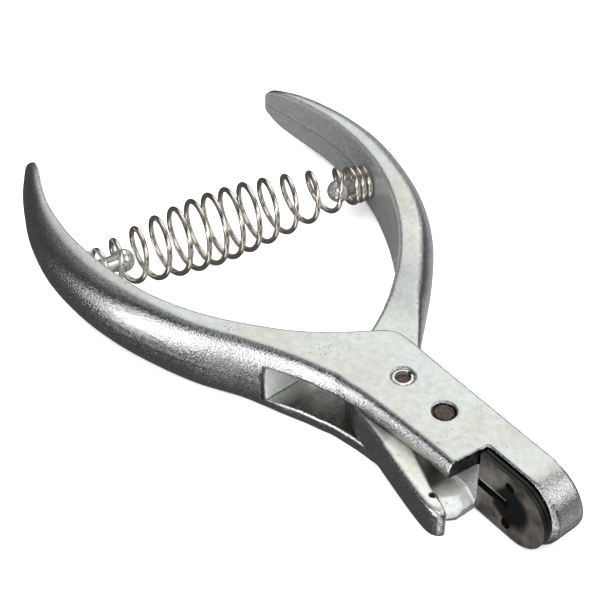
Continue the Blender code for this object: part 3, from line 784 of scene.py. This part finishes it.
def make_pivot_pin(steel, brown):
    steps = 72
    rings = []
    for z, shrink in ((-PIN_LOOK_HALF, 0.2), (-PIN_LOOK_HALF + 0.2, 0.0),
                      (PIN_LOOK_HALF - 0.2, 0.0), (PIN_LOOK_HALF, 0.2)):
        outer = []
        inner = []
        for k in range(steps + 1):
            angle = math.pi / 2 + PIN_SLIT + (2 * math.pi - 2 * PIN_SLIT) * k / steps
            c, s = math.cos(angle), math.sin(angle)
            outer.append(((PIN_LOOK_R - shrink) * c, (PIN_LOOK_R - shrink) * s, z))
            inner.append((PIN_LOOK_BORE_R * c, PIN_LOOK_BORE_R * s, z))
        rings.append(outer + inner[::-1])
    verts, faces = bridge_rings(rings)
    obj = build("rolled_pivot_pin", verts, faces, steel)
    finish_piece(obj, "frame", "pivot_pin_steel", "pivot_pin")
    # A dark plug just below the rolled pin's ends: painted shade for its hollow bore.
    radius = PIN_LOOK_BORE_R - 0.03
    bore_shade = lathe("pivot_pin_bore_shade", [(radius, -PIN_CORE_HALF), (radius, PIN_CORE_HALF)],
                 (0.0, 0.0, 0.0), (0, 0, 1), brown)
    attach(bore_shade, "frame")


def make_stop_pin(steel):
    r = STOP_PIN_ROUNDING
    profile = []
    for side in (-1, 1):
        for k in range(5):
            angle = math.radians(22.5 * (k if side > 0 else 4 - k))
            profile.append((STOP_PIN_R - r + r * math.cos(angle),
                            side * (STOP_PIN_HALF - r + r * math.sin(angle))))
    obj = lathe("solid_stop_pin", profile, (STOP_X, 0.0, 0.0), (0, 0, 1), steel)
    finish_piece(obj, "frame", "stop_pin_steel", "stop_pin")


def die_outline(radius, slit_half, slit_end):
    """In x and z: the slit's open end, round the plate's curved edge and back to it."""
    steps = 64
    outline = [(DIE_START_X, slit_half), (slit_end, slit_half), (slit_end, -slit_half),
               (DIE_START_X, -slit_half), (DIE_START_X, -radius)]
    for k in range(steps + 1):
        angle = -math.pi / 2 + math.pi * k / steps
        outline.append((DIE_CENTRE_X + radius * math.cos(angle), radius * math.sin(angle)))
    outline.append((DIE_START_X, radius))
    return outline


def die_recess(material):
    """Cutter for the shallow dish round the slit's end, its walls sloping softly."""
    outline = [(-2.8, 0.5)]
    for k in range(31):
        angle = math.pi / 2 - math.pi * k / 30
        outline.append((RECESS_RADII[0] * math.cos(angle), RECESS_RADII[1] * math.sin(angle)))
    outline.append((-2.8, -2.6))
    rings = []
    for spread, depth in ((1.55, -1.0), (1.42, -0.12), (1.30, 0.05), (1.12, 0.45),
                          (0.94, 0.82), (0.6, 1.0)):
        rings.append([(RECESS_CENTRE_X + spread * x, DIE_Y[0] + depth * RECESS_DEPTH, spread * z)
                      for x, z in outline])
    return build("cut_recess", *bridge_rings(rings), material)


def make_die(steel, screw_steel, bright):
    plate = prism("slotted_die_plate", die_outline(DIE_R, SLIT_HALF, SLIT_END_X), 1,
                  DIE_Y[0], DIE_Y[1], steel)
    backing = prism("die_backing_sheet", die_outline(DIE_R - 0.1, SLIT_HALF + 0.3,
                                                     SLIT_END_X + 0.3),
                    1, BACKING_Y[0], BACKING_Y[1], steel)
    cutters = [boolean(plate, die_recess(steel))]
    for side in (1, -1):
        centre = (SCREW_X, DIE_Y[0] - 0.5, side * SCREW_Z)
        hole = lathe("cut_hole", [(SCREW_HOLE_R, 0), (SCREW_HOLE_R, 3)], centre, (0, 1, 0), steel)
        boolean(plate, hole)
        boolean(backing, hole)
        cutters.append(hole)
    bake_modifiers(backing)
    bake_modifiers(plate, cutters)
    for obj in (plate, backing):
        edge = obj.modifiers.new("Edges", "BEVEL")
        edge.width = 0.12 * MM
        edge.segments = 3
        edge.limit_method = "ANGLE"
        edge.angle_limit = math.radians(40)
        edge.harden_normals = True
        bake_modifiers(obj)
    finish_piece(plate, "frame", "black_die_steel", "die_plate")
    finish_piece(backing, "frame", "black_die_steel", "die_backing_plate")
    # A thin strip of bright plated metal along the slit's upper edge: a painted highlight line,
    # not a real part.
    ridge = [(DIE_START_X + 0.4, SLIT_HALF - 0.03), (SLIT_END_X - 0.3, SLIT_HALF - 0.03),
             (SLIT_END_X - 0.3, SLIT_HALF + 0.13), (DIE_START_X + 0.4, SLIT_HALF + 0.13)]
    highlight_strip = prism("die_slit_highlight", ridge, 1, DIE_Y[0] - 0.06, DIE_Y[0] + 0.05, bright)
    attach(highlight_strip, "frame")
    for name in ("die_screw_upper", "die_screw_lower"):
        node = frame["nodes"][name]
        node.data.materials.clear()
        node.data.materials.append(screw_steel)


def make_blade(steel, pin_steel):
    obj = prism("slot_punch_blade", blade_outline(0.0), 2, -BLADE_HALF, BLADE_HALF, steel)
    profile = [(RETAINING_PIN_R + GAP / 2, -3), (RETAINING_PIN_R + GAP / 2, 3)]
    cutter = boolean(obj, lathe("cut_hole", profile, retaining_centre(), (0, 0, 1), steel))
    bake_modifiers(obj, [cutter])
    finish_piece(obj, "lever", "punch_blade_steel", "punch_blade")
    r, half = RETAINING_PIN_R, RETAINING_PIN_HALF
    profile = [(r - 0.15, -half), (r, 0.15 - half), (r, half - 0.15), (r - 0.15, half)]
    pin = lathe("blade_retaining_pin", profile, retaining_centre(), (0, 0, 1), pin_steel,
                steps=32)
    finish_piece(pin, "lever", "dark_screw_steel", "punch_retaining_pin")


def make_studs(zinc):
    for name, seat, sign in (("frame", SPRING_START, 1), ("lever", SPRING_END, -1)):
        direction = sign * spring_direction()
        neck = STUD_NECK_R
        profile = [(neck, -0.9), (neck, STUD_PROUD - 4.9), (neck + 0.15, STUD_PROUD - 4.65)]
        for k in range(25):
            angle = math.radians(-38 + 5 * k)
            profile.append((STUD_HEAD_R * math.cos(angle),
                            STUD_PROUD - STUD_HEAD_R + STUD_HEAD_R * math.sin(angle)))
        profile.append((0.2, STUD_PROUD))
        obj = lathe(name + "_stud_turned", profile, (*seat, 0.0), direction, zinc)
        finish_piece(obj, name, "zinc_casting", name + "_spring_stud")


def coil_direction(angle, share, direction, side, up):
    """From a coil's centre to its wire. The coils lean, most of all near the frame."""
    hinge = math.cos(SPRING_LEAN_AXIS) * side + math.sin(SPRING_LEAN_AXIS) * up
    across = -math.sin(SPRING_LEAN_AXIS) * side + math.cos(SPRING_LEAN_AXIS) * up
    lean = SPRING_LEAN * (1 - share) ** 1.5
    tipped = math.cos(lean) * across + math.sin(lean) * direction
    turned = angle - SPRING_LEAN_AXIS
    return math.cos(turned) * hinge + math.sin(turned) * tipped


def coil_along(turn, turns, length):
    """Distance along the spring after some turns: closed ends, an uneven pitch between."""
    low, high = (n * SPRING_CLOSED_PITCH for n in SPRING_CLOSED_TURNS)
    if turn <= SPRING_CLOSED_TURNS[0]:
        return turn * SPRING_CLOSED_PITCH
    if turn >= turns - SPRING_CLOSED_TURNS[1]:
        return length - (turns - turn) * SPRING_CLOSED_PITCH
    part = (turn - SPRING_CLOSED_TURNS[0]) / SPRING_OPEN_TURNS
    swing = SPRING_PITCH_SWING * math.sin(2 * math.pi * part) / (2 * math.pi)
    skew = SPRING_PITCH_SKEW * (part ** 2 - part)
    return low + (length - low - high) * (part + swing + skew)


def coil_path(start, direction, length):
    """The wire's centres round the barrel, and the way out from the axis at each."""
    side = np.array((-direction[1], direction[0], 0.0))
    up = np.array((0.0, 0.0, 1.0))
    turns = SPRING_OPEN_TURNS + sum(SPRING_CLOSED_TURNS)
    centres = []
    outs = []
    for k in range(round(turns * COIL_STEPS) + 1):
        turn = k / COIL_STEPS
        along = coil_along(turn, turns, length)
        share = min(1.0, max(0.0, along / length))
        belly = max(0.0, math.sin(math.pi * share ** SPRING_SKEW)) ** 1.3
        radius = SPRING_END_R + (SPRING_BELLY_R - SPRING_END_R) * belly
        angle = SPRING_PHASE - 2 * math.pi * turn
        out = coil_direction(angle, share, direction, side, up)
        bow = SPRING_BOW * math.sin(math.pi * share ** 2) * side
        centres.append(start + direction * (SPRING_LIFT[0] + along) + bow + out * radius)
        outs.append(out)
    return np.array(centres), outs


def wire_rings(centres, outs):
    rings = []
    for centre, out, run in zip(centres, outs, np.gradient(centres, axis=0)):
        run = run / np.linalg.norm(run)
        across = np.cross(run, out)
        across /= np.linalg.norm(across)
        ring = []
        for j in range(WIRE_SIDES):
            a = 2 * math.pi * j / WIRE_SIDES
            ring.append(tuple(centre + SPRING_WIRE_R * (math.cos(a) * np.cross(across, run)
                                                        + math.sin(a) * across)))
        rings.append(ring)
    return rings


def make_spring(nickel):
    """Barrel-shaped left-hand spring, its coils closed up at both ends."""
    start = np.append(SPRING_START, 0.0)
    direction = spring_direction()
    length = np.linalg.norm(np.subtract(SPRING_END, SPRING_START)) - sum(SPRING_LIFT)
    verts, faces = bridge_rings(wire_rings(*coil_path(start, direction, length)))
    obj = build("barrel_spring", verts, faces, nickel, sharp=50)
    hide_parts("return_spring")
    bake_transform(obj)


# ----------------------------------------------------------- floor, light, camera

def stage_piece(name, verts, faces, material):
    """A piece of the studio, in metres, that the metal doesn't mirror."""
    mesh = bpy.data.meshes.new(name)
    mesh.from_pydata(verts, [], faces)
    mesh.materials.append(material)
    obj = bpy.data.objects.new(name, mesh)
    bpy.context.scene.collection.objects.link(obj)
    obj.visible_glossy = False
    return obj


def make_floor():
    corners = ((-1, -1), (1, -1), (1, 1), (-1, 1))
    verts = [(x * FLOOR_HALF, y * FLOOR_HALF, FLOOR_Z) for x, y in corners]
    stage_piece("floor", verts, [(0, 1, 2, 3)], floor_material())


def make_backdrop():
    """A pale wall round the floor, which only shows where a view looks past its edge."""
    count = BACKDROP_STEPS
    angles = [2 * math.pi * k / count for k in range(count)]
    verts = [(BACKDROP_R * math.cos(a), BACKDROP_R * math.sin(a), z)
             for z in (0.0, BACKDROP_HEIGHT) for a in angles]
    faces = [(k, (k + 1) % count, (k + 1) % count + count, k + count) for k in range(count)]
    wall = stage_piece("backdrop", verts, faces, backdrop_material())
    wall.visible_diffuse = False
    wall.visible_shadow = False


# Soft boxes of the studio as the metal sees them: direction, half angles, brightness
SOFT_BOXES = (
    ((-0.42, 0.60, 0.68), (38, 14), 1.20),     # far side, mirrored by the level faces
    ((-0.40, -0.18, 0.90), (38, 6), 0.30),     # overhead, where the sides begin to turn
    ((-0.42, 0.78, -0.46), (32, 16), 0.42),    # the table behind, for edges turned away
    ((-0.09, -0.965, -0.25), (14, 9), 4.2),    # low on the near left, for handle sides
    ((-0.39, -0.91, -0.06), (11, 6), 1.5),     # and for the cheek's
    ((0.03, -0.985, 0.16), (11, 6), 4.2),
    ((0.57, -0.46, 0.68), (26, 12), 1.6),      # behind the camera, for wire and pins
    ((0.62, 0.458, 0.60), (34, 12), 1.3),      # beyond the nose, for the cheek's slope
    ((0.46, -0.86, 0.02), (20, 8), 1.5),       # low in front, for chamfers and tips
    ((0.50, -0.60, -0.60), (24, 8), 1.2),
    ((0.62, 0.50, -0.60), (42, 12), 0.32),     # the table beyond the nose
)
FLOOR_LEVEL = 0.085                            # of the table, and of the room above it
ROOM_LEVEL = 0.07


def make_world():
    """A dark room with soft boxes painted on it, so that the metal has its contrast."""
    world = bpy.data.worlds.new("studio")
    world.use_nodes = True
    tree = world.node_tree
    background = tree.nodes["Background"]
    direction = tree.nodes.new("ShaderNodeTexCoord").outputs["Generated"]

    def spread(value, low, high, out_low, out_high):
        node = tree.nodes.new("ShaderNodeMapRange")
        node.interpolation_type = "SMOOTHSTEP"
        tree.links.new(value, node.inputs["Value"])
        for key, number in (("From Min", low), ("From Max", high),
                            ("To Min", out_low), ("To Max", out_high)):
            node.inputs[key].default_value = number
        return node.outputs["Result"]

    def add(first, second):
        node = tree.nodes.new("ShaderNodeMath")
        node.operation = "ADD"
        tree.links.new(first, node.inputs[0])
        tree.links.new(second, node.inputs[1])
        return node.outputs[0]

    split = tree.nodes.new("ShaderNodeSeparateXYZ")
    tree.links.new(direction, split.inputs[0])
    total = spread(split.outputs["Z"], -0.35, 0.05, FLOOR_LEVEL, ROOM_LEVEL)
    for aim, (outer, inner), level in SOFT_BOXES:
        dot = tree.nodes.new("ShaderNodeVectorMath")
        dot.operation = "DOT_PRODUCT"
        tree.links.new(direction, dot.inputs[0])
        dot.inputs[1].default_value = Vector(aim).normalized()
        low, high = math.cos(math.radians(outer)), math.cos(math.radians(inner))
        total = add(total, spread(dot.outputs["Value"], low, high, 0.0, level))
    tint = tree.nodes.new("ShaderNodeCombineColor")
    for channel in ("Red", "Green", "Blue"):
        tree.links.new(total, tint.inputs[channel])
    tree.links.new(tint.outputs["Color"], background.inputs["Color"])
    background.inputs["Strength"].default_value = 1.0
    bpy.context.scene.world = world


def area_light(name, azimuth, elevation, distance, size, power):
    """A light aimed at the tool. Azimuth 0 is the -Y side, 90 the +X side."""
    a, e = math.radians(azimuth), math.radians(elevation)
    toward = Vector((math.sin(a) * math.cos(e), -math.cos(a) * math.cos(e), math.sin(e)))
    light = bpy.data.lights.new(name, "AREA")
    light.shape = "RECTANGLE"
    light.size, light.size_y = size
    light.energy = power
    obj = bpy.data.objects.new(name, light)
    obj.location = toward * distance
    obj.rotation_euler = (-toward).to_track_quat("-Z", "Y").to_euler()
    bpy.context.scene.collection.objects.link(obj)
    return obj


def make_camera():
    """A long lens above the near handle, with the nose towards the viewer."""
    data = bpy.data.cameras.new("camera")
    data.sensor_width = CAMERA_SENSOR
    data.lens = CAMERA_LENS
    cam = bpy.data.objects.new("camera", data)
    level = math.cos(CAMERA_ELEVATION)
    back = Vector((math.sin(CAMERA_AZIMUTH) * level, -math.cos(CAMERA_AZIMUTH) * level,
                   math.sin(CAMERA_ELEVATION)))
    cam.location = place(Vector(CAMERA_TARGET) + back * CAMERA_DISTANCE)
    cam.rotation_euler = (-back).to_track_quat("-Z", "Y").to_euler()
    bpy.context.scene.collection.objects.link(cam)
    bpy.context.scene.camera = cam


def main():
    zinc = zinc_material()
    nickel = metal_material("nickel_wire", (0.70, 0.65, 0.59), (0.93, 0.88, 0.81), 0.10, 900, 0.06)
    plated = metal_material("plated_stud", (0.60, 0.63, 0.60), (0.84, 0.86, 0.83), 0.16, 1200, 0.2,
                            metallic=0.9)
    die_steel = die_material()
    screw_steel = metal_material("dark_screw_steel", (0.012, 0.012, 0.012),
                                 (0.04, 0.038, 0.036), 0.5, 1500, 0.3)
    pin_steel = metal_material("pivot_pin_steel", (0.50, 0.50, 0.50), (0.82, 0.82, 0.81),
                               0.25, 1500, 0.2, metallic=0.8)
    brown_steel = metal_material("browned_stop_pin", (0.025, 0.018, 0.014), (0.15, 0.12, 0.10),
                                 0.5, 1500, 0.6, metallic=0.8)
    blade_steel = metal_material("ground_blade_steel", (0.25, 0.25, 0.25), (0.45, 0.45, 0.45),
                                 0.28, 2000, 0.2)
    make_frame_casting(zinc)
    make_lever_casting(zinc)
    make_pivot_pin(pin_steel, brown_steel)
    make_stop_pin(brown_steel)
    make_die(die_steel, screw_steel, plated)
    make_blade(blade_steel, screw_steel)
    make_studs(plated)
    make_spring(nickel)

    make_floor()
    make_backdrop()
    make_world()
    fill = area_light("floor_light", 30, 80, 1.3, (2.6, 2.6), 80)
    fill.visible_glossy = False
    bpy.context.scene.view_settings.view_transform = "Standard"
    make_camera()


main()
